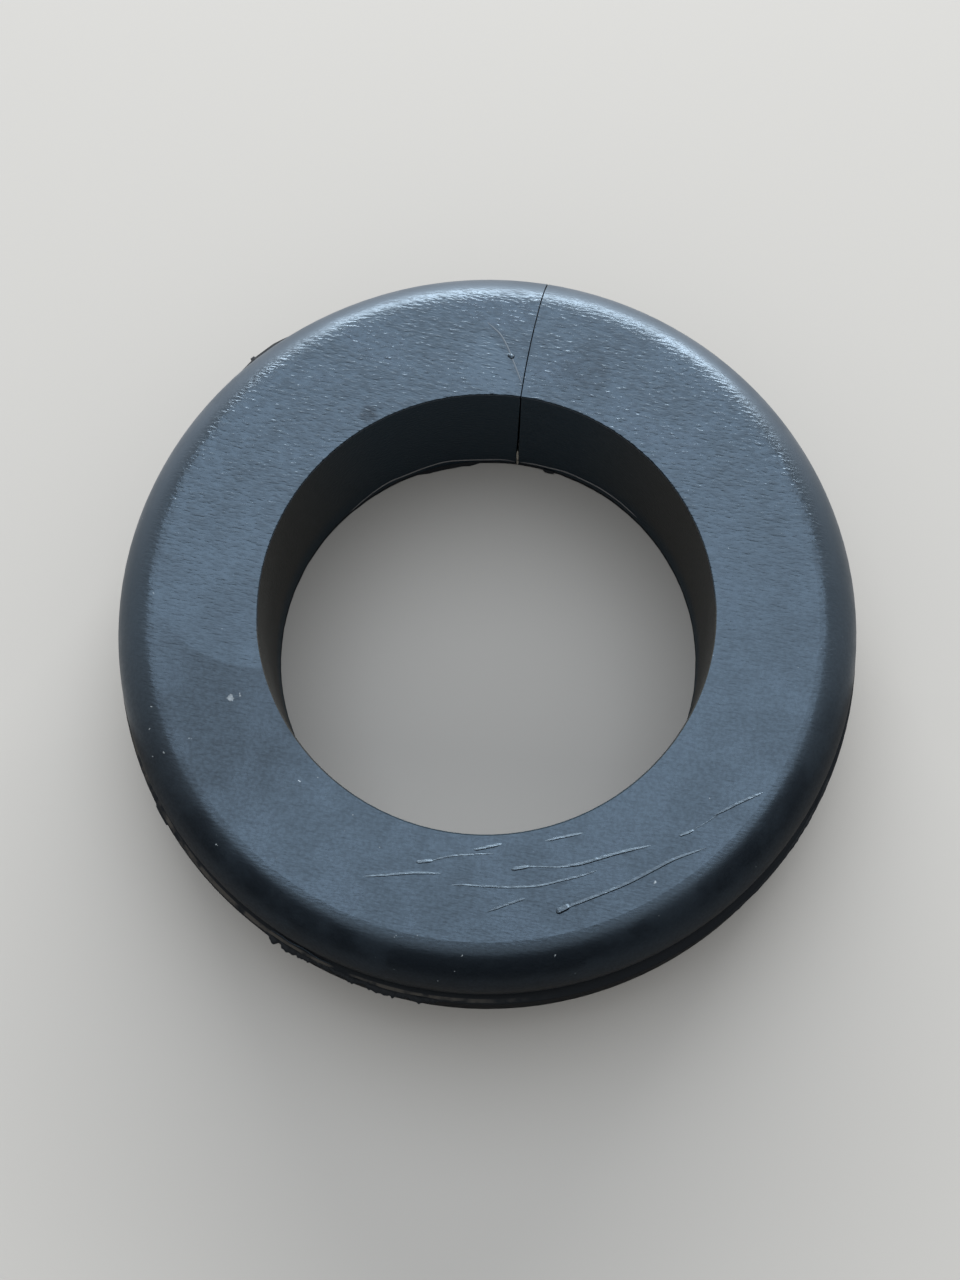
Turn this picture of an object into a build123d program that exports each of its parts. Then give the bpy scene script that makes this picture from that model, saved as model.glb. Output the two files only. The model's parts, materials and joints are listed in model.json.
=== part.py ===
from build123d import *
import os

# A split rubber grommet, moulded in one piece. It lies on its lower flange, with the
# origin at the middle of its underside and +Z along the bore. All sizes are in millimetres.

# The bore, crisp-edged on top and rounded off underneath, and the height over both flanges.
bore_radius = 25.0
bore_upper_round = 0.15
bore_lower_round = 1.0
overall_height = 21.5

# The groove takes the edge of the panel, and its floor fills the panel's hole.
groove_floor_radius = 36.5
groove_width = 1.6
groove_corner_round = 0.4

# The upper flange stands out past the groove's floor. It is flat on top, with one large
# round down to its outer edge.
upper_flange_overlap = 4.6
upper_flange_thickness = 7.2
upper_edge_round = 4.8
upper_lip_round = 0.45

# The lower flange stands a little proud of the upper one all round.
lower_flange_proud = 0.9
lower_lip_round = 0.9
lower_edge_round = 4.8

# The cut through one side lets the ring open to go round a cable. It runs outwards with a
# slight bow, nearly shut on top and a little open underneath. Its angles are at its two ends.
slit_inner_angle = 77.7
slit_outer_angle = 76.1
slit_bow_angle = 0.5
slit_lean_angle = 0.9
slit_width_top = 0.12
slit_width_bottom = 0.36
slit_overrun = 1.0

# Sizes worked out from those above.
upper_flange_radius = groove_floor_radius + upper_flange_overlap
lower_flange_radius = upper_flange_radius + lower_flange_proud
upper_lip_height = overall_height - upper_flange_thickness
lower_lip_height = upper_lip_height - groove_width


def at_angle(radius, angle):
    return Vector(radius, 0).rotate(Axis.Z, angle)


with BuildPart() as grommet:
    # Half of the cross-section, from the bore outwards, turned once about the bore's axis.
    with BuildSketch(Plane.XZ):
        with BuildLine():
            FilletPolyline(
                (bore_radius, 0),
                (lower_flange_radius, 0),
                (lower_flange_radius, lower_lip_height),
                (groove_floor_radius, lower_lip_height),
                (groove_floor_radius, upper_lip_height),
                (upper_flange_radius, upper_lip_height),
                (upper_flange_radius, overall_height),
                (bore_radius, overall_height),
                radius=[
                    bore_lower_round,
                    lower_edge_round,
                    lower_lip_round,
                    groove_corner_round,
                    groove_corner_round,
                    upper_lip_round,
                    upper_edge_round,
                    bore_upper_round,
                ],
                close=True,
            )
        make_face()
    revolve(axis=Axis.Z)

    # The slit, drawn below and above the ring and cut along the way between.
    inner_end = bore_radius - slit_overrun
    outer_end = lower_flange_radius + slit_overrun
    middle_angle = (slit_inner_angle + slit_outer_angle) / 2 + slit_bow_angle
    for height, width, lean in (
        (-slit_overrun, slit_width_bottom, slit_lean_angle),
        (overall_height + slit_overrun, slit_width_top, 0),
    ):
        with BuildSketch(Plane.XY.offset(height)):
            with BuildLine():
                ThreePointArc(
                    at_angle(inner_end, slit_inner_angle + lean),
                    at_angle((inner_end + outer_end) / 2, middle_angle + lean),
                    at_angle(outer_end, slit_outer_angle + lean),
                )
            trace(line_width=width)
    loft(mode=Mode.SUBTRACT)

grommet.part.label = "grommet"
os.makedirs("parts", exist_ok=True)
export_step(grommet.part, "parts/grommet.step")
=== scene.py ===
import json
import math

import bmesh
import bpy
from mathutils import Matrix, Vector, noise


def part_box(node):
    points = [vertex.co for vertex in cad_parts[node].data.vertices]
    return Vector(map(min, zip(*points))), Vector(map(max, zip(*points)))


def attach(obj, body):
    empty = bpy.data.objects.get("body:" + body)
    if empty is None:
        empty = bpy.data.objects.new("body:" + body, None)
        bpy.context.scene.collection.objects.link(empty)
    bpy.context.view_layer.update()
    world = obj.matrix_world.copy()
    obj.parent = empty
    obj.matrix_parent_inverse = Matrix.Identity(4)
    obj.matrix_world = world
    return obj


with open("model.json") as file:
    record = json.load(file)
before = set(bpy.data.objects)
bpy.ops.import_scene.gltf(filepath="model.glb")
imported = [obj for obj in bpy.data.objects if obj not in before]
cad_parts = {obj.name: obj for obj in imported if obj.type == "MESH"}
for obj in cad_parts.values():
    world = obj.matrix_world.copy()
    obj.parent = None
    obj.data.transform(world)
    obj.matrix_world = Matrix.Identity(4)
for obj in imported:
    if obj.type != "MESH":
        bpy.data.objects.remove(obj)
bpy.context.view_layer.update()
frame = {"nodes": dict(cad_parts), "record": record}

# The part lies on its lower flange, +Z up along the bore, with the far side of the photo
# towards +Y. Lengths below are in millimetres unless a note says otherwise.
mm = 0.001
ring = frame["nodes"]["grommet"]
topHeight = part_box("grommet")[1].z / mm
mountSizes = {mount["name"]: mount["dims"] for mount in frame["record"]["mounts"]}
boreRadius = mountSizes["bore"]["r_mm"]

bpy.context.scene.view_settings.view_transform = "Standard"


# Camera

cameraSet = {
    "place": (-0.84, -55.02, 207.43),
    "tilt": 15.43,  # degrees away from straight down, towards the far side
    "roll": -3.20,  # degrees
    "lens": 49.95,
    "sensor": 36.0,
    "clip": 10.0,
    "picture": (960, 1280),  # pixels, wide and high
}


def makeCamera():
    data = bpy.data.cameras.new("photoCamera")
    data.lens = cameraSet["lens"]
    data.sensor_width = cameraSet["sensor"]
    data.clip_start = cameraSet["clip"] * mm
    camera = bpy.data.objects.new("photoCamera", data)
    turn = Matrix.Rotation(math.radians(cameraSet["tilt"]), 4, "X")
    roll = Matrix.Rotation(math.radians(cameraSet["roll"]), 4, "Z")
    camera.matrix_world = Matrix.Translation(Vector(cameraSet["place"]) * mm) @ turn @ roll
    bpy.context.scene.collection.objects.link(camera)
    bpy.context.scene.camera = camera
    return camera


camera = makeCamera()


def fromPhoto(pixel, height):
    # Where the line of sight through a pixel of the picture meets a level plane.
    wide, high = cameraSet["picture"]
    focal = cameraSet["lens"] / cameraSet["sensor"] * high
    sight = Vector((pixel[0] - wide / 2, high / 2 - pixel[1], -focal))
    sight.rotate(camera.matrix_world.to_quaternion())
    start = Vector(cameraSet["place"])
    return start + sight * ((height - start.z) / sight.z)


def onRing(pixel):
    # Where the same line of sight first meets the ring.
    start = Vector(cameraSet["place"])
    sight = fromPhoto(pixel, 0) - start
    toRing = ring.matrix_world.inverted()
    met, spot = ring.ray_cast(toRing @ (start * mm), (toRing.to_3x3() @ sight).normalized())[:2]
    return ring.matrix_world @ spot / mm if met else fromPhoto(pixel, topHeight)


def onWall(pixel, halvings=40):
    # Where the same line of sight meets the bore's far wall, found by halving.
    high, low = fromPhoto(pixel, topHeight), fromPhoto(pixel, 0)
    for i in range(halvings):
        middle = (high + low) / 2
        if middle.xy.length > boreRadius:
            low = middle
        else:
            high = middle
    return middle


# Light

lightSet = {
    "overhead": {
        "place": (0, 425, 990),
        "size": (1100, 915),
        "radiance": 2.0,
        "colour": (0.87, 0.93, 1.0),
    },
    "window": {
        "place": (130, 890, 380),
        "size": (1100, 270),
        "radiance": 15.4,
        "colour": (1.0, 1.0, 0.98),
    },
}


def makeLight(name, settings):
    data = bpy.data.lights.new(name, "AREA")
    data.shape = "RECTANGLE"
    data.size, data.size_y = (side * mm for side in settings["size"])
    data.color = settings["colour"]
    data.energy = settings["radiance"] * math.pi * data.size * data.size_y
    light = bpy.data.objects.new(name, data)
    place = Vector(settings["place"]) * mm
    light.matrix_world = Matrix.Translation(place) @ place.to_track_quat("Z", "Y").to_matrix().to_4x4()
    light.visible_camera = False
    bpy.context.scene.collection.objects.link(light)


for lightName, lightSettings in lightSet.items():
    makeLight(lightName, lightSettings)


# Shader maths: a wired socket can be added, multiplied and so on like a number.

class Wire:
    def __init__(self, tree, socket=None):
        self.tree = tree
        self.socket = socket

    def node(self, kind, settings, inputs, output=0):
        made = self.tree.nodes.new("ShaderNode" + kind)
        for name, value in settings.items():
            setattr(made, name, value)
        for name, value in inputs.items():
            if isinstance(value, Wire):
                self.tree.links.new(value.socket, made.inputs[name])
            else:
                made.inputs[name].default_value = value
        return Wire(self.tree, made.outputs[output] if made.outputs else None)

    def sibling(self, output):
        # another output of the node that this wire leaves
        return Wire(self.tree, self.socket.node.outputs[output])

    def maths(self, operation, *others):
        return self.node("Math", {"operation": operation}, dict(enumerate((self, *others))))

    def __add__(self, other):
        return self.maths("ADD", other)

    def __mul__(self, other):
        return self.maths("MULTIPLY", other)

    def __sub__(self, other):
        return self.maths("SUBTRACT", other)

    def __rsub__(self, other):
        return self.node("Math", {"operation": "SUBTRACT"}, {0: other, 1: self})

    __radd__ = __add__
    __rmul__ = __mul__

    def distance(self, point):
        return self.node("VectorMath", {"operation": "DISTANCE"}, {0: self, 1: tuple(point)}, output="Value")

    def smooth(self, low, high):
        # 0 below low, 1 above high, eased in between
        settings = {"interpolation_type": "SMOOTHSTEP"}
        return self.node("MapRange", settings, {"Value": self, "From Min": low, "From Max": high})

    def mixed(self, first, second):
        # one colour where this is 0, another where it is 1
        settings = {"data_type": "RGBA"}
        return self.node("Mix", settings, {0: self, 6: first, 7: second}, output=2)


def startMaterial(name):
    material = bpy.data.materials.new(name)
    material.use_nodes = True
    material.node_tree.nodes.clear()
    return material, Wire(material.node_tree)


def colour(values):
    return (*values, 1.0)


plainShine = 0.3


def plain(name, values, roughness):
    material, start = startMaterial(name)
    surface = start.node("BsdfPrincipled", {}, {
        "Base Color": colour(values), "Roughness": roughness, "Specular IOR Level": plainShine,
    })
    start.node("OutputMaterial", {}, {"Surface": surface})
    return material


# Meshes are drawn in millimetres and turned into metres when they are finished.

def finishMesh(name, mesh):
    bmesh.ops.scale(mesh, vec=(mm,) * 3, verts=mesh.verts)
    data = bpy.data.meshes.new(name)
    mesh.to_mesh(data)
    mesh.free()
    made = bpy.data.objects.new(name, data)
    bpy.context.scene.collection.objects.link(made)
    return made


def spinRound(mesh, corners, others, start, end, steps):
    # Sweeps a section that stands over the X axis from one azimuth to another, in degrees.
    turn = Matrix.Rotation(math.radians(start), 3, "Z")
    bmesh.ops.rotate(mesh, cent=(0, 0, 0), matrix=turn, verts=corners)
    bmesh.ops.spin(
        mesh, geom=[*others, *corners], cent=(0, 0, 0), axis=(0, 0, 1),
        angle=math.radians(end - start), steps=steps, use_duplicate=False,
    )


# World and stage

worldColour = (0.74, 0.74, 0.73)


def makeWorld():
    world = bpy.data.worlds.new("studio")
    bpy.context.scene.world = world
    world.use_nodes = True
    world.node_tree.nodes.clear()
    start = Wire(world.node_tree)
    background = start.node("Background", {}, {"Color": colour(worldColour)})
    start.node("OutputWorld", {}, {"Surface": background})


makeWorld()

floorSet = {"half": 3000, "colour": (0.41, 0.403, 0.391), "roughness": 0.8}


def makeFloor():
    mesh = bmesh.new()
    bmesh.ops.create_grid(mesh, x_segments=1, y_segments=1, size=floorSet["half"])
    floor = finishMesh("studioFloor", mesh)
    floor.data.materials.append(plain("paleFloor", floorSet["colour"], floorSet["roughness"]))


makeFloor()

# Only reflections show the cards, dark sheets that paint shade into reflections. They keep the backdrop and
# the pale floor off the near rounding.
cardSet = {
    "near": {
        "line": ((480, 0), (480, 900)),  # radius and height of both ends
        "from": -176, "to": -4,  # degrees round from +X
        "colour": (0.01, 0.01, 0.01),
    },
    "floor": {
        "line": ((43, 0.5), (450, 0.5)),
        "from": -172, "to": -8,
        "colour": (0.10, 0.092, 0.084),
    },
}
cardSteps = 48
cardRoughness = 0.9


def makeCard(name):
    card = cardSet[name]
    mesh = bmesh.new()
    ends = [mesh.verts.new((radius, 0, height)) for radius, height in card["line"]]
    edge = mesh.edges.new(ends)
    spinRound(mesh, ends, [edge], card["from"], card["to"], cardSteps)
    made = finishMesh(name + "Card", mesh)
    made.data.materials.append(plain(name + "Card", card["colour"], cardRoughness))
    made.visible_camera = False
    made.visible_diffuse = False
    made.visible_shadow = False


for cardName in cardSet:
    makeCard(cardName)
print("camera, light and stage are set")


# Rubber

rubberLook = {
    "black": (0.003, 0.004, 0.006),
    "bloom": (0.007, 0.010, 0.014),
    "paintedFarSheen": (0.035, 0.044, 0.058),  # painted sheen: a bluish reflection painted on the far rounding
    "speck": (0.30, 0.33, 0.35),
    "sheenTint": (0.56, 0.77, 1.0),
    "index": 1.55,
    "shine": 1.0,
    "roughness": 0.26,
    "filmRoughness": 0.05,  # added where the film lies
    "edgeRoughness": 0.12,  # added on the rounding
    "peelNear": 0.02,  # depths of the fine relief
    "peelFar": 0.09,
    "waveDepth": 0.02,
    "grainFar": 0.24,  # shares of the dull finish
    "grainNear": 0.22,
    "filmShare": 0.13,
    "dullBlack": (0.010, 0.013, 0.017),
    "boreBlack": (0.010, 0.021, 0.031),
    "paintedSideBounce": (0.028, 0.028, 0.026),  # painted warm bounce light on the bore's left and right walls
    # dust and painted bounce light on the left of the lower flange's lip
    "dustAndBounce": (0.055, 0.052, 0.048),
    "dullShine": 0.15,
    "dullRoughness": 0.65,
}
patterns = {
    "streaks": {"size": 0.31, "detail": 1.6, "stretch": 3.3, "turn": -14.0},  # degrees
    "blotches": {"size": 0.4, "detail": 4.0, "offset": 7.0},
    "wave": {"size": 2.4, "detail": 1.0, "offset": 11.0},
    "film": {"size": 8.0, "detail": 4.0, "offset": 5.0},
    "dust": {"size": 2.5, "detail": 3.0, "offset": 3.0},
}
patternRoughness = 0.6

# A mask is 0 at the first value of its pair and 1 at the second.
fades = {
    "underside": (26, 26.4),  # radii
    "rounding": (36.8, 39.3),
    "lipBandInner": (41.4, 41.5),
    "lipBandOuter": (41.8, 41.9),
    "boreEdge": (boreRadius + 0.13, boreRadius + 0.16),
    "aboveGroove": (13.3, 13.6),  # heights
    "rimTop": (21.2, 21.35),
    "shadedFoot": (1.5, 6.0),
    "lipHeight": (10, 11),
    "far": (-22, 22),  # places along +Y
    "farRim": (-2, 2),
    "farSheen": (0, 30),
    "right": (-8, 6),  # along +X
    "bounceSides": (10, 24),  # both ways along X, where the bore's walls get painted bounce light
    "film": (0.42, 0.60),  # strengths of a pattern
    "grain": (0.35, 0.65),
    "dust": (0.38, 0.58),
    "speckPick": (0.8, 1.0),
    "speckSize": (0.02, 0.09),
}

# Each mark lies round a spot of the picture, inside or outside a circle on the top face. Its share
# makes the finish duller, or glossier below 0.
marks = {
    "leftFilm": {
        "spot": (222, 722), "reach": 15.0, "centre": (265.7, 544.4), "radius": 14.06,
        "side": "out", "share": 0.25,
    },
    "curl": {
        "spot": (498, 362), "reach": 5.0, "centre": (397, 412), "radius": 13.9,
        "side": "in", "share": -0.25,
    },
    "rightPatch": {
        "spot": (585, 372), "reach": 4.5, "centre": (480, 420), "radius": 16.0,
        "side": "in", "share": 0.15,
    },
    "boreSmudge": {
        "spot": (368, 414), "reach": 1.3, "centre": (368, 414), "radius": 9.0,
        "side": "in", "share": 0.3,
    },
}
markCore = 0.4  # share of the reach that is at full strength
markEdge = 0.2

flecks = {
    "leftBig": {"pixel": (231, 698), "radius": 0.42},
    "leftSmall": {"pixel": (240, 695), "radius": 0.17},
    "rightLow": {"pixel": (655, 883), "radius": 0.17},
    "farLeft": {"pixel": (154, 593), "radius": 0.15},
    "nearBoreEdge": {"pixel": (294, 733), "radius": 0.13},
    "lowLeft": {"pixel": (462, 956), "radius": 0.13},
    "lowMiddle": {"pixel": (555, 956), "radius": 0.12},
    "leftEdgeFar": {"pixel": (151, 707), "radius": 0.13},
    "leftEdge": {"pixel": (149.5, 729), "radius": 0.13},
    "leftEdgeNear": {"pixel": (152.4, 756.6), "radius": 0.13},
    "leftOuter": {"pixel": (164, 753), "radius": 0.13},
    "leftInner": {"pixel": (190, 738), "radius": 0.13},
    "leftLow": {"pixel": (216.5, 845), "radius": 0.13},
    "nearBoreLow": {"pixel": (299.8, 780.5), "radius": 0.13},
    "lowLeftInner": {"pixel": (396, 936), "radius": 0.13},
}
fleckForm = {
    "core": 0.7,  # share of the radius that is fully pale
    "shake": 0.8,  # how far the outline is pushed about
    "shakeSize": 0.4,
    "spacing": 0.9,  # of the small scattered specks
}


def rubberFinish(name, glossy=False):
    # Bloomed outside, and dull in the bore and below the groove unless it is glossy all over.
    look = rubberLook
    material, start = startMaterial(name)
    place = start.node("TexCoord", {}, {}, output="Object")
    scaled = start.node("Mapping", {}, {"Vector": place, "Scale": (1 / mm,) * 3})

    def clouds(size, detail, offset=0.0, stretch=1.0, turn=0.0):
        where = start.node("Mapping", {"vector_type": "TEXTURE"}, {
            "Vector": scaled, "Location": (offset,) * 3, "Rotation": (0, 0, math.radians(turn)),
            "Scale": (stretch, 1, 1),
        })
        return start.node("TexNoise", {}, {
            "Vector": where, "Scale": 1 / size, "Detail": detail, "Roughness": patternRoughness,
        })

    sideways = start.node("SeparateXYZ", {}, {"Vector": scaled})
    across, height = sideways.sibling("Y"), sideways.sibling("Z")
    level = start.node("Mapping", {}, {"Vector": scaled, "Scale": (1, 1, 0)})
    radius = level.distance((0, 0, 0))
    flat = 1 - radius.smooth(*fades["rounding"])
    far = across.smooth(*fades["far"])
    farRim = across.smooth(*fades["farRim"]) * height.smooth(*fades["rimTop"])
    inBore = (1 - radius.smooth(*fades["boreEdge"])) * (1 - farRim)
    underGroove = radius.smooth(*fades["underside"]) * (1 - height.smooth(*fades["aboveGroove"]))

    streaks = clouds(**patterns["streaks"])
    blotches = clouds(**patterns["blotches"])
    wave = clouds(**patterns["wave"])
    film = clouds(**patterns["film"]).smooth(*fades["film"])

    share = look["grainFar"] * far * flat * streaks.smooth(*fades["grain"])
    share = share + look["grainNear"] * (1 - far) * blotches.smooth(*fades["grain"])
    share = share + look["filmShare"] * film
    for mark in marks.values():
        toSpot = scaled.distance(fromPhoto(mark["spot"], topHeight))
        toCentre = scaled.distance(fromPhoto(mark["centre"], topHeight))
        near = 1 - toSpot.smooth(markCore * mark["reach"], mark["reach"])
        beyond = toCentre.smooth(mark["radius"] - markEdge, mark["radius"] + markEdge)
        kept = beyond if mark["side"] == "out" else 1 - beyond
        share = share + mark["share"] * near * kept
    share = share.maths("MAXIMUM", inBore.maths("MAXIMUM", underGroove)).maths("MINIMUM", 1)

    cells = start.node("TexVoronoi", {}, {"Vector": scaled, "Scale": 1 / fleckForm["spacing"]})
    pick = start.node("SeparateColor", {}, {"Color": cells.sibling("Color")}).smooth(*fades["speckPick"])
    speck = (1 - cells.smooth(*fades["speckSize"])) * pick * pick
    shake = (fleckForm["shake"],) * 3
    shakeScale = 1 / fleckForm["shakeSize"]
    shakes = start.node("TexNoise", {}, {"Vector": scaled, "Scale": shakeScale}, output="Color")
    shaken = start.node("VectorMath", {"operation": "MULTIPLY_ADD"}, {0: shakes, 1: shake, 2: scaled})
    for fleck in flecks.values():
        toFleck = shaken.distance(onRing(fleck["pixel"]) + Vector(shake) / 2)
        speck = speck + (1 - toFleck.smooth(fleckForm["core"] * fleck["radius"], fleck["radius"]))

    bloomAndSheen = film.mixed(colour(look["black"]), colour(look["bloom"]))
    # Painted sheen: the far rounding's base colour turns bluish grey, standing in for the reflection of the
    # light there.
    farSheen = (1 - flat) * across.smooth(*fades["farSheen"])
    bloomAndSheen = farSheen.mixed(bloomAndSheen, colour(look["paintedFarSheen"]))
    relief = streaks * (look["peelNear"] + look["peelFar"] * far) * flat + wave * look["waveDepth"]
    bump = start.node("Bump", {}, {"Height": relief, "Strength": 1.0, "Distance": mm})
    outside = start.node("BsdfPrincipled", {}, {
        "Base Color": speck.maths("MINIMUM", 1).mixed(bloomAndSheen, colour(look["speck"])),
        "Roughness": look["roughness"] + look["filmRoughness"] * film + look["edgeRoughness"] * (1 - flat),
        "IOR": look["index"],
        "Specular IOR Level": look["shine"],
        "Specular Tint": colour(look["sheenTint"]),
        "Normal": bump,
    })

    # Dust and painted bounce light: a brownish band on the lower flange's lip, on the left side only, where
    # bounce light falls, mottled like dust.
    dustAndBounceMask = underGroove * radius.smooth(*fades["lipBandInner"]) * (1 - radius.smooth(*fades["lipBandOuter"]))
    dustAndBounceMask = dustAndBounceMask * height.smooth(*fades["lipHeight"]) * (1 - sideways.smooth(*fades["right"]))
    dustAndBounceMask = dustAndBounceMask * clouds(**patterns["dust"]).smooth(*fades["dust"])
    # Painted bounce light: the bore's left and right walls turn lighter and warmer, fading out towards the
    # foot, which stays dark as painted contact shade.
    bounceSides = sideways.maths("ABSOLUTE").smooth(*fades["bounceSides"]) * inBore
    bounceSides = bounceSides * height.smooth(*fades["shadedFoot"])
    boreBaseAndBounce = bounceSides.mixed(colour(look["boreBlack"]), colour(look["paintedSideBounce"]))
    dullBase = inBore.mixed(colour(look["dullBlack"]), boreBaseAndBounce)
    inside = start.node("BsdfPrincipled", {}, {
        "Base Color": dustAndBounceMask.mixed(dullBase, colour(look["dustAndBounce"])),
        "Roughness": look["dullRoughness"],
        "Specular IOR Level": look["dullShine"],
        "Normal": bump,
    })
    surface = start.node("MixShader", {}, {0: 0.0 if glossy else share, 1: outside, 2: inside})
    start.node("OutputMaterial", {}, {"Surface": surface})
    return material


rubber = rubberFinish("bloomedRubber")
glossyRubber = rubberFinish("glossyRubber", glossy=True)
dullRubber = plain("dullRubber", rubberLook["dullBlack"], rubberLook["dullRoughness"])
for slot in ring.material_slots:
    slot.material = rubber
print("rubber is finished")


# Rods and thin skins that lie on the ring

def smoothPath(points, steps=6):
    # A smooth line through every point, by cubic stretches between neighbours.
    path = [points[0]]
    for i in range(len(points) - 1):
        here, there = points[i], points[i + 1]
        before = points[i - 1] if i else here - (there - here)
        after = points[i + 2] if i + 2 < len(points) else there + (there - here)
        leave = here + (there - before) / 6
        arrive = there - (after - here) / 6
        for k in range(1, steps + 1):
            t = k / steps
            first = here.lerp(leave, t).lerp(leave.lerp(arrive, t), t)
            second = leave.lerp(arrive, t).lerp(arrive.lerp(there, t), t)
            path.append(first.lerp(second, t))
    return path


def addToRing(name, mesh, material, smooth=True):
    bmesh.ops.recalc_face_normals(mesh, faces=mesh.faces)
    for face in mesh.faces:
        face.smooth = smooth
    piece = finishMesh(name, mesh)
    piece.data.materials.append(material)
    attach(piece, "root")


rodTaper = {"tip": 0.15, "growth": 5, "power": 0.5}  # full width a fifth of the way in


def makeRod(name, path, material, width, height=None, lean=0.0, sink=0.0, sides=12):
    # A rod, drawn by pulling one end of it along the path. Its crest may lean to one side.
    # The first end stays as a cap, and the faces left inside by each later pull are deleted.
    height = width if height is None else height
    tip = rodTaper["tip"]
    mesh = bmesh.new()
    station = bmesh.ops.create_circle(mesh, cap_ends=True, segments=sides, radius=1)["verts"]
    end = mesh.faces[:]
    last = Matrix.Identity(4)
    count = len(path)
    for i, point in enumerate(path):
        along = (path[min(i + 1, count - 1)] - path[max(i - 1, 0)]).normalized()
        side = along.cross(Vector((0, 0, 1))).normalized()
        up = side.cross(along)
        share = i / (count - 1)
        grown = min(1, rodTaper["growth"] * share, rodTaper["growth"] * (1 - share))
        taper = tip + (1 - tip) * grown ** rodTaper["power"]
        crest = (up * height + side * lean) * taper
        turn = Matrix((side * width * taper, crest, along)).transposed().to_4x4()
        here = Matrix.Translation(point - up * height * taper * sink) @ turn
        if i:
            inner = end if i > 1 else []
            pulled = bmesh.ops.extrude_face_region(mesh, geom=end)["geom"]
            end = [part for part in pulled if isinstance(part, bmesh.types.BMFace)]
            station = [part for part in pulled if isinstance(part, bmesh.types.BMVert)]
            bmesh.ops.delete(mesh, geom=inner, context="FACES_ONLY")
        bmesh.ops.transform(mesh, matrix=here @ last.inverted(), verts=station)
        last = here
    addToRing(name, mesh, material, smooth=sides > 4)


# Raised scratches on the top face. Each has a size and the pixels of the picture that it runs through.

scratches = {
    "ridge": {"width": 0.19, "height": 0.129, "lean": 0.10, "sink": 0.0, "sides": 4},
    "round": {"width": 0.30, "height": 0.22, "lean": 0.0, "sink": 0.5, "sides": 16},
    "roundNames": ("curl", "curlLump"),
    # The curl scratch's blue-grey colour is a painted highlight along its raised line.
    "curlHighlight": {"names": ("curl",), "colour": (0.09, 0.115, 0.145), "roughness": 0.6},
    "paths": {
        "long": (1.0, [
            (560, 910), (574, 904.5), (601, 894), (628, 883), (655, 869), (676, 858.5), (706, 848),
        ]),
        "longEnd": (1.8, [(556, 912.5), (560, 910.5), (565, 908), (570, 905.5)]),
        "middleHead": (1.1, [(511, 869.5), (520, 868), (529, 866.5)]),
        "middleThin": (0.45, [(524, 866.8), (536, 866.5), (547, 867), (564, 867.5)]),
        "middle": (1.0, [(557, 867.5), (580, 864), (601, 858), (622, 852), (651, 845.5)]),
        "lowMiddle": (0.7, [
            (451, 885), (467, 885), (489, 886.5), (510, 887), (537, 886), (564, 880), (582, 875.5),
            (597, 870.5),
        ]),
        "nearBore": (0.8, [(545, 841), (561, 837.5), (583, 833)]),
        "nearBoreLeft": (0.95, [(473, 850), (488, 847), (502, 844)]),
        "rightShort": (0.85, [(679, 836), (686, 833.5), (694, 830)]),
        "rightFaint": (0.3, [(692, 830.5), (707, 822), (720, 813)]),
        "rightLong": (0.85, [(714, 815.5), (730, 807.5), (742, 801.5), (763, 792.5)]),
        "lowShort": (0.75, [(487, 912), (507, 904.5), (525, 898.5)]),
        "leftLong": (0.75, [(363, 876.5), (387, 875), (414, 873), (441, 873.5)]),
        "leftThick": (1.0, [(416, 862), (424, 861.5), (433, 860.5)]),
        "leftFaint": (0.5, [(430, 861), (446, 857), (462, 855), (494, 853.5)]),
        "curl": (0.4, [(487, 322), (500, 334), (507, 346), (512, 358), (517, 371), (522, 384)]),
        "curlLump": (1.2, [(508.5, 354), (511, 356), (514, 358)]),
    },
}


def makeScratches():
    curlHighlightLook = scratches["curlHighlight"]
    curlHighlight = plain("curlHighlightPaint", curlHighlightLook["colour"], curlHighlightLook["roughness"])
    for name, (size, pixels) in scratches["paths"].items():
        path = smoothPath([fromPhoto(pixel, topHeight) for pixel in pixels])
        form = scratches["round" if name in scratches["roundNames"] else "ridge"]
        width, height, lean = (size * form[part] for part in ("width", "height", "lean"))
        material = curlHighlight if name in curlHighlightLook["names"] else rubber
        makeRod("scratch_" + name, path, material, width, height, lean, form["sink"], form["sides"])


makeScratches()
print("scratches are on")


# Mould line with a painted highlight, a strip of painted light in the slit, and burr at the foot of the
# bore's far wall.

# Painted highlight: the mould line's pale grey stands in for the light that the ridge catches.
mouldLineHighlight = {
    "radius": 0.10,
    "colour": (0.16, 0.16, 0.165),
    "roughness": 0.6,
    "paths": {
        "left": [
            (350, 512), (369, 495.5), (388, 482.5), (407, 474.5), (426.5, 467), (446, 461.5), (465, 460),
            (484, 459.5), (503, 459.5), (515, 461.5),
        ],
        "right": [
            (520, 462), (534, 464), (549, 467.5), (566, 472), (580, 478), (599, 487.5), (618, 500.5),
            (637, 517.5),
        ],
    },
}
# Painted light: a pale brownish strip at the foot of the slit stands in for the lit floor seen through the
# gap.
slitLightStrip = {
    "radius": 0.15,
    "colour": (0.30, 0.28, 0.24),
    "roughness": 0.8,
    "path": [(517.6, 451), (517.5, 459), (517.4, 464.5)],
}
rimBurr = {"radius": 0.28, "height": 0.3, "path": [(543, 469.5), (549, 471.3), (555, 472.5)]}


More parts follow.
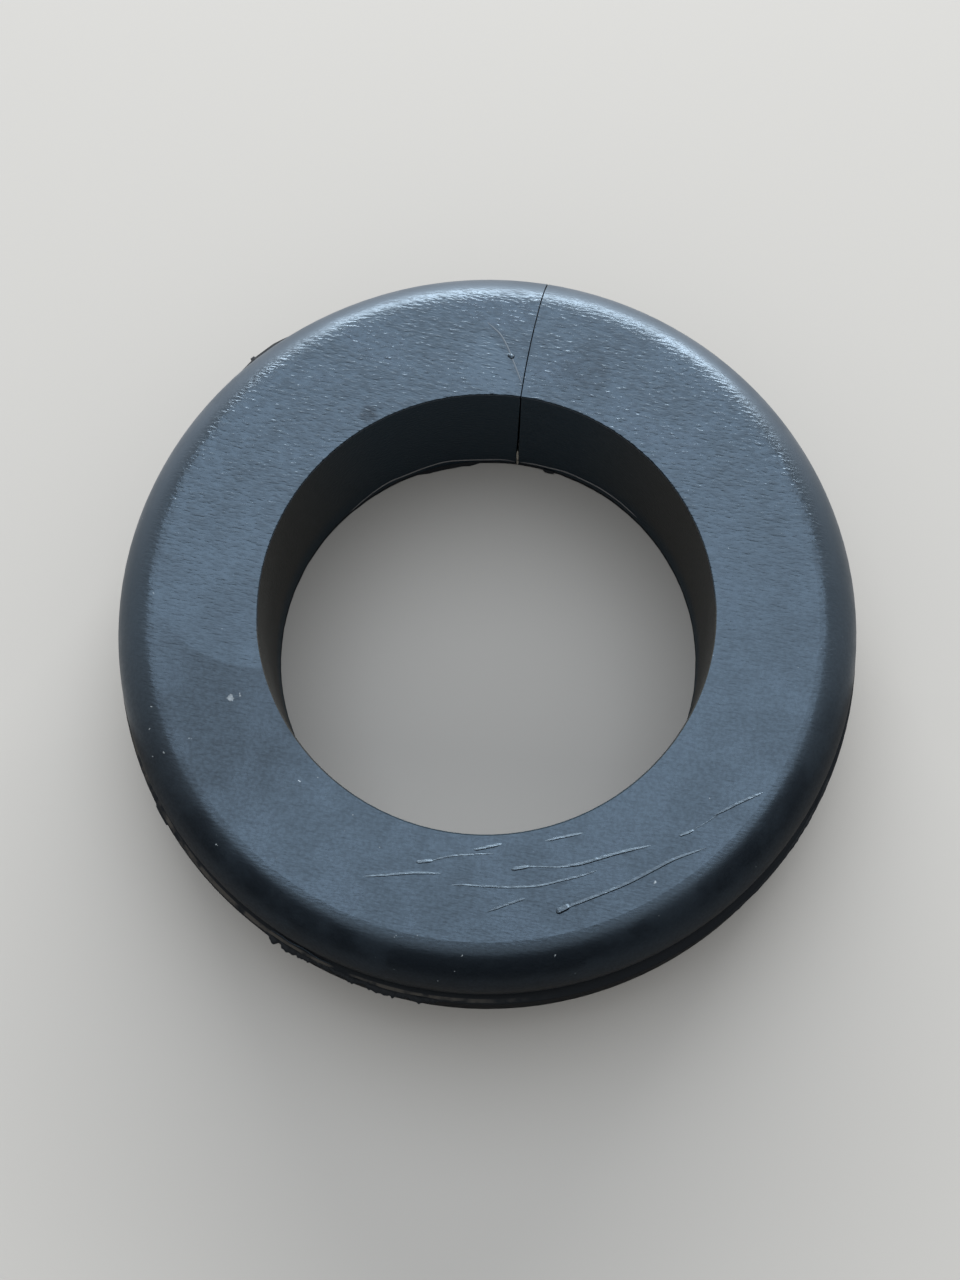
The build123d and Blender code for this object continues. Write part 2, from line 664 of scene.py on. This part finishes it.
def makeWallDetails():
    line = plain("mouldLineHighlight", mouldLineHighlight["colour"], mouldLineHighlight["roughness"])
    for side, pixels in mouldLineHighlight["paths"].items():
        path = smoothPath([onWall(pixel) for pixel in pixels])
        makeRod("mouldLineHighlight_" + side, path, line, mouldLineHighlight["radius"])
    slitLightPaint = plain("slitLightRubber", slitLightStrip["colour"], slitLightStrip["roughness"])
    path = smoothPath([onWall(pixel) for pixel in slitLightStrip["path"]])
    makeRod("slitLightStrip", path, slitLightPaint, slitLightStrip["radius"])
    path = smoothPath([fromPhoto(pixel, rimBurr["height"]) for pixel in rimBurr["path"]])
    makeRod("rimBurr", path, dullRubber, rimBurr["radius"])


makeWallDetails()


# Mould flash: thin torn skin where the mould's halves met. Each runs between two azimuths in degrees,
# from a root inside the rubber out to its reach, or inwards in the bore.

rimFlash = {
    "fringe": {
        "from": 231, "to": 266, "root": 41.5, "reach": 42.3, "height": 12.3, "tear": 0.45, "depth": 0.55,
        "ease": (20, 4),
    },
    "tongue": {
        "from": 112, "to": 138, "root": 40.9, "reach": 41.95, "height": 16.3, "tear": 3.0, "depth": 0.15,
        "ease": (2.3, 2.4),
    },
    "nub": {
        "from": 126.4, "to": 128.4, "root": 40.9, "reach": 42.2, "height": 16.3, "tear": 1.0, "depth": 0.1,
        "ease": (3, 3),
    },
    "leftBulge": {
        "from": 204, "to": 209.3, "root": 41.5, "reach": 42.1, "height": 12.1, "tear": 6.0, "depth": 0.03,
        "ease": (3, 20),
    },
    "rightRag": {
        "from": 300, "to": 338, "root": 41.5, "reach": 41.98, "height": 12.3, "tear": 0.8, "depth": 0.12,
        "ease": (5, 5),
    },
    "boreSkirt": {
        "from": -60, "to": 240, "root": 25.8, "reach": 25.0, "height": 0.26, "tear": 2.0, "depth": 0.05,
        "ease": (8, 8),
    },
    "farSkirt": {
        "from": 80, "to": 116, "root": 25.8, "reach": 24.7, "height": 0.26, "tear": 2.0, "depth": 0.08,
        "ease": (3, 3),
    },
}
flashForm = {
    "thickness": 0.22,
    "stepsPerDegree": 6,
    "leastSwell": 0.04,  # keeps an area at both ends
    "rootMargin": 0.01,  # points this near the root stay there
    "layers": (1, 2.3, 5),  # sizes of the tears, as multiples of the finest
    "layerStrength": 0.5,
    "wander": 0.1,  # up and down, over about as many degrees as wanderSize says
    "wanderSize": 4,
    "wanderSeed": 9,
    "firstSeed": 2.3,
    "seedStep": 5,
}
degreesInRadian = 57.3


def raggedness(azimuth, size, seed):
    # Between -1 and 1, with a tear about every size degrees.
    angle = math.radians(azimuth)
    turn = Vector((math.cos(angle), math.sin(angle), 0)) * (degreesInRadian / size)
    return noise.noise(turn + Vector((0, 0, seed)))


def tornShape(edge, seed, azimuth, radius, height):
    # Where a point of the even strip goes.
    form = flashForm
    share = ((azimuth - edge["from"]) % 360) / (edge["to"] - edge["from"])
    rise, fall = edge["ease"]
    swell = max(form["leastSwell"], min(1, rise * share, fall * (1 - share)))
    if abs(radius - edge["root"]) > form["rootMargin"]:
        tears = [raggedness(azimuth, edge["tear"] * layer, seed + layer) for layer in form["layers"]]
        reach = edge["root"] + (edge["reach"] - edge["root"]) * swell
        radius = reach + edge["depth"] * sum(tears) * form["layerStrength"] * swell
    wander = raggedness(azimuth, form["wanderSize"], seed + form["wanderSeed"])
    return radius, height + form["wander"] * wander


def makeRimFlash(name, seed):
    # A thin section spun between two azimuths, then torn by moving its points.
    edge = rimFlash[name]
    low = edge["height"] - flashForm["thickness"] / 2
    high = edge["height"] + flashForm["thickness"] / 2
    steps = int((edge["to"] - edge["from"]) * flashForm["stepsPerDegree"])
    profile = [(edge["root"], low), (edge["reach"], low), (edge["reach"], high), (edge["root"], high)]
    mesh = bmesh.new()
    corners = [mesh.verts.new((radius, 0, height)) for radius, height in profile]
    section = mesh.faces.new(corners)
    spinRound(mesh, corners, [section, *section.edges], edge["from"], edge["to"], steps)
    for vert in mesh.verts:
        radius = vert.co.xy.length
        azimuth = math.degrees(math.atan2(vert.co.y, vert.co.x))
        newRadius, newHeight = tornShape(edge, seed, azimuth, radius, vert.co.z)
        vert.co.xy *= newRadius / radius
        vert.co.z = newHeight
    addToRing(name, mesh, dullRubber)


for flashNumber, flashName in enumerate(rimFlash):
    makeRimFlash(flashName, flashForm["firstSeed"] + flashForm["seedStep"] * flashNumber)

# The lower flange's lip catches the light along a short stretch.
crestLine = {
    "height": 12.9,
    "radius": 0.08,
    "path": [(271, 930), (282, 936.5), (291.5, 943), (304, 949), (317.5, 958), (333, 965)],
}
crestPath = smoothPath([fromPhoto(pixel, crestLine["height"]) for pixel in crestLine["path"]])
makeRod("crestLine", crestPath, glossyRubber, crestLine["radius"])
print("mould flash is on")
